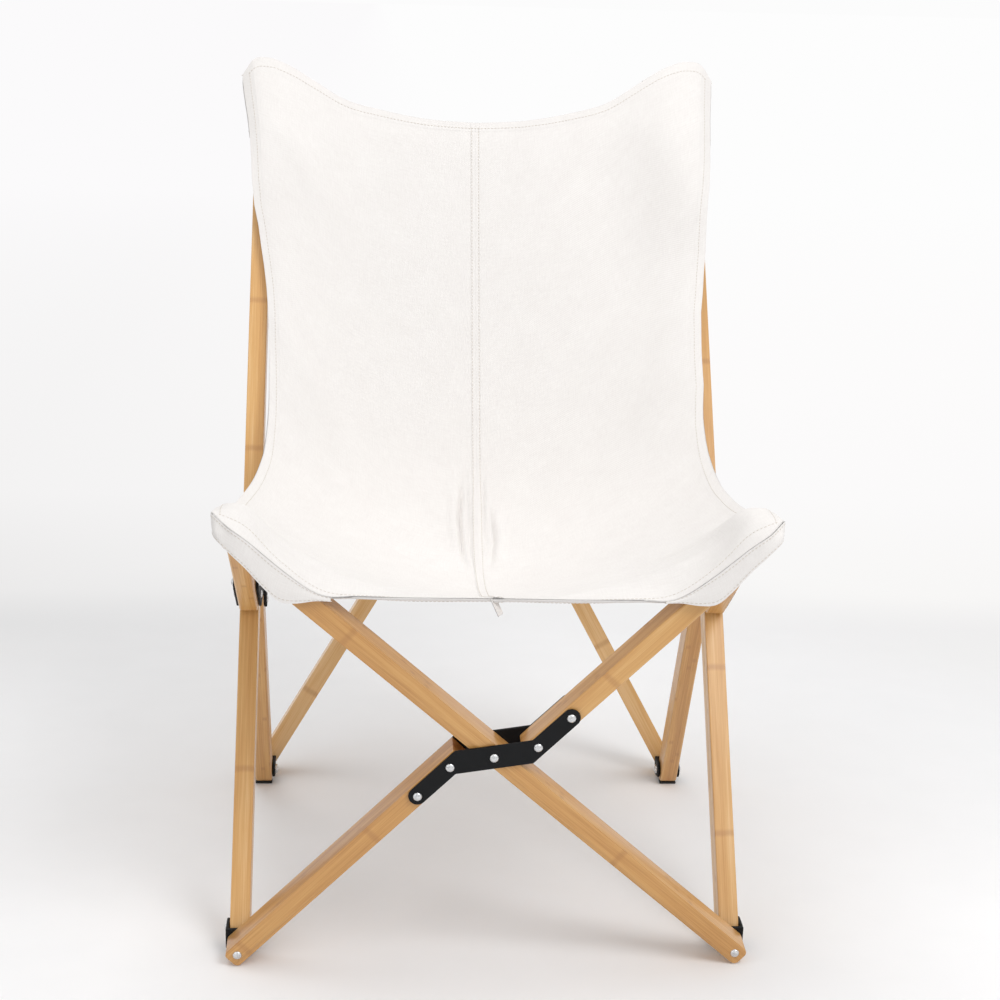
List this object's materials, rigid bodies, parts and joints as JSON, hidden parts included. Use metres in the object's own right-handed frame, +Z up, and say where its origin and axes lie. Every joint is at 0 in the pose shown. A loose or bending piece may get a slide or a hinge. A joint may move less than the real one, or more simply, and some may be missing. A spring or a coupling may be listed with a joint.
{
  "type": "butterfly sling chair",
  "caption": "Folding lounge chair: a bamboo frame of crossed bars with black steel plates and corner brackets carries a one-piece canvas sling seat and back",
  "frame": {"origin": "on the floor under the middle of the open chair's extent", "axes": "+X to the right of someone facing the chair's front, +Y towards its back, +Z up"},
  "size_m": [0.5416, 0.7016, 0.867],
  "materials": {
    "bamboo": "satin lacquered laminated bamboo",
    "black_steel": "fine matt black powder coat",
    "zinc": "bright zinc plate",
    "rubber": "matt",
    "canvas": "heavy off-white cotton canvas"
  },
  "bodies": {
    "left_long": {"left_long_bar": "bamboo", "left_front_foot_pad": "rubber", "canvas_back": "canvas", "left_back_pocket": "canvas"},
    "left_side": {"left_rear_leg": "bamboo", "left_seat_rail": "bamboo", "left_side_outer_plate": "black_steel", "left_side_inner_plate": "black_steel", "left_side_pivot_rivet": "zinc", "left_rear_foot_pad": "rubber", "left_seat_pocket": "canvas", "canvas_seat": "canvas", "hem_tag": "canvas"},
    "front_left_bracket": {"front_left_foot_bracket": "black_steel", "front_left_foot_bolt": "zinc", "front_left_foot_rivet": "zinc"},
    "front_half": {"front_cross_lower_half_bar": "bamboo", "front_cross_upper_half_bar": "bamboo", "front_cross_face_plate": "black_steel", "front_cross_back_plate": "black_steel", "front_cross_pivot_rivet": "zinc", "seat_right_rivet": "zinc"},
    "front_through": {"front_cross_through_bar": "bamboo", "seat_left_rivet": "zinc"},
    "front_right_bracket": {"front_right_foot_bracket": "black_steel", "front_right_foot_bolt": "zinc", "front_right_foot_rivet": "zinc"},
    "right_long": {"right_long_bar": "bamboo", "right_front_foot_pad": "rubber", "right_back_pocket": "canvas"},
    "right_side": {"right_rear_leg": "bamboo", "right_seat_rail": "bamboo", "right_side_outer_plate": "black_steel", "right_side_inner_plate": "black_steel", "right_side_pivot_rivet": "zinc", "right_rear_foot_pad": "rubber", "right_seat_pocket": "canvas"},
    "seat_left_bracket": {"seat_left_bracket": "black_steel", "seat_left_bolt": "zinc"},
    "seat_right_bracket": {"seat_right_bracket": "black_steel", "seat_right_bolt": "zinc"},
    "rear_left_bracket": {"rear_left_foot_bracket": "black_steel", "rear_left_foot_bolt": "zinc", "rear_left_foot_rivet": "zinc"},
    "rear_through": {"rear_cross_through_bar": "bamboo", "back_right_top_rivet": "zinc"},
    "rear_half": {"rear_cross_lower_half_bar": "bamboo", "rear_cross_upper_half_bar": "bamboo", "rear_cross_face_plate": "black_steel", "rear_cross_back_plate": "black_steel", "rear_cross_pivot_rivet": "zinc", "rear_right_foot_rivet": "zinc", "back_left_top_rivet": "zinc"},
    "rear_right_bracket": {"rear_right_foot_bracket": "black_steel", "rear_right_foot_bolt": "zinc"},
    "back_left_bracket": {"back_left_top_bracket": "black_steel", "back_left_top_bolt": "zinc"},
    "back_right_bracket": {"back_right_top_bracket": "black_steel", "back_right_top_bolt": "zinc"}
  },
  "joints": [
    {"name": "side_fold", "type": "hinge", "parent": "left_long", "child": "left_side", "pos_m": [-0.25, -0.0376, 0.33537], "axis": [-1, 0, 0], "range_deg": [0, 55], "deforming": ["canvas_seat", "canvas_back", "left_seat_pocket", "right_seat_pocket", "left_back_pocket", "right_back_pocket", "hem_tag"]},
    {"name": "front_left_foot_tilt", "type": "hinge", "parent": "left_long", "child": "front_left_bracket", "pos_m": [-0.25, -0.2466, 0.018], "axis": [-1, 0, 0], "range_deg": [0, 20.7]},
    {"name": "front_left_foot_swing", "type": "hinge", "parent": "front_left_bracket", "child": "front_half", "pos_m": [-0.25, -0.28341, 0.01423], "axis": [0, -0.9948, -0.102], "range_deg": [0, 26.39]},
    {"name": "front_cross_turn", "type": "hinge", "parent": "front_half", "child": "front_through", "pos_m": [0, -0.30591, 0.23373], "axis": [0, -0.9948, -0.102], "range_deg": [-52.77, 0]},
    {"name": "front_right_foot_swing", "type": "hinge", "parent": "front_through", "child": "front_right_bracket", "pos_m": [0.25, -0.28341, 0.01423], "axis": [0, -0.9948, -0.102], "range_deg": [0, 26.39]},
    {"name": "front_right_foot_tilt", "type": "hinge", "parent": "front_right_bracket", "child": "right_long", "pos_m": [0.25, -0.2466, 0.018], "axis": [-1, 0, 0], "range_deg": [-20.7, 0]},
    {"name": "right_side_fold", "type": "hinge", "parent": "right_long", "child": "right_side", "pos_m": [0.25, -0.0376, 0.33537], "axis": [-1, 0, 0], "range_deg": [0, 55.01]},
    {"name": "seat_left_tilt", "type": "hinge", "parent": "left_side", "child": "seat_left_bracket", "pos_m": [-0.25, -0.2916, 0.457], "axis": [-1, 0, 0], "range_deg": [-34.32, 0]},
    {"name": "seat_right_tilt", "type": "hinge", "parent": "right_side", "child": "seat_right_bracket", "pos_m": [0.25, -0.2916, 0.457], "axis": [-1, 0, 0], "range_deg": [-34.32, 0]},
    {"name": "rear_left_foot_tilt", "type": "hinge", "parent": "left_side", "child": "rear_left_bracket", "pos_m": [-0.25, 0.1984, 0.018], "axis": [-1, 0, 0], "range_deg": [-34.46, 0]},
    {"name": "rear_left_foot_swing", "type": "hinge", "parent": "rear_left_bracket", "child": "rear_through", "pos_m": [-0.25, 0.23515, 0.01374], "axis": [0, 0.9934, -0.1151], "range_deg": [-15.71, 0]},
    {"name": "rear_cross_turn", "type": "hinge", "parent": "rear_through", "child": "rear_half", "pos_m": [0, 0.28265, 0.42374], "axis": [0, 0.9934, -0.1151], "range_deg": [0, 31.4]},
    {"name": "rear_right_foot_tilt", "type": "hinge", "parent": "right_side", "child": "rear_right_bracket", "pos_m": [0.25, 0.1984, 0.018], "axis": [-1, 0, 0], "range_deg": [-34.46, 0]},
    {"name": "back_left_tilt", "type": "hinge", "parent": "left_long", "child": "back_left_bracket", "pos_m": [-0.25, 0.2934, 0.838], "axis": [-1, 0, 0], "range_deg": [0, 20.56]},
    {"name": "back_right_tilt", "type": "hinge", "parent": "right_long", "child": "back_right_bracket", "pos_m": [0.25, 0.2934, 0.838], "axis": [-1, 0, 0], "range_deg": [0, 20.56]}
  ],
  "couplings": [
    {"joint": "front_left_foot_tilt", "follows": "side_fold", "ratio": 0.3762},
    {"joint": "front_left_foot_swing", "follows": "side_fold", "ratio": 0.4796},
    {"joint": "front_cross_turn", "follows": "side_fold", "ratio": -0.9592},
    {"joint": "front_right_foot_swing", "follows": "side_fold", "ratio": 0.4796},
    {"joint": "front_right_foot_tilt", "follows": "side_fold", "ratio": -0.3762},
    {"joint": "right_side_fold", "follows": "side_fold", "ratio": 1},
    {"joint": "seat_left_tilt", "follows": "side_fold", "ratio": -0.6238},
    {"joint": "seat_right_tilt", "follows": "side_fold", "ratio": -0.6238},
    {"joint": "rear_left_foot_tilt", "follows": "side_fold", "ratio": -0.6264},
    {"joint": "rear_left_foot_swing", "follows": "side_fold", "ratio": -0.2854},
    {"joint": "rear_cross_turn", "follows": "side_fold", "ratio": 0.5708},
    {"joint": "rear_right_foot_tilt", "follows": "side_fold", "ratio": -0.6264},
    {"joint": "back_left_tilt", "follows": "side_fold", "ratio": 0.3736},
    {"joint": "back_right_tilt", "follows": "side_fold", "ratio": 0.3736}
  ]
}
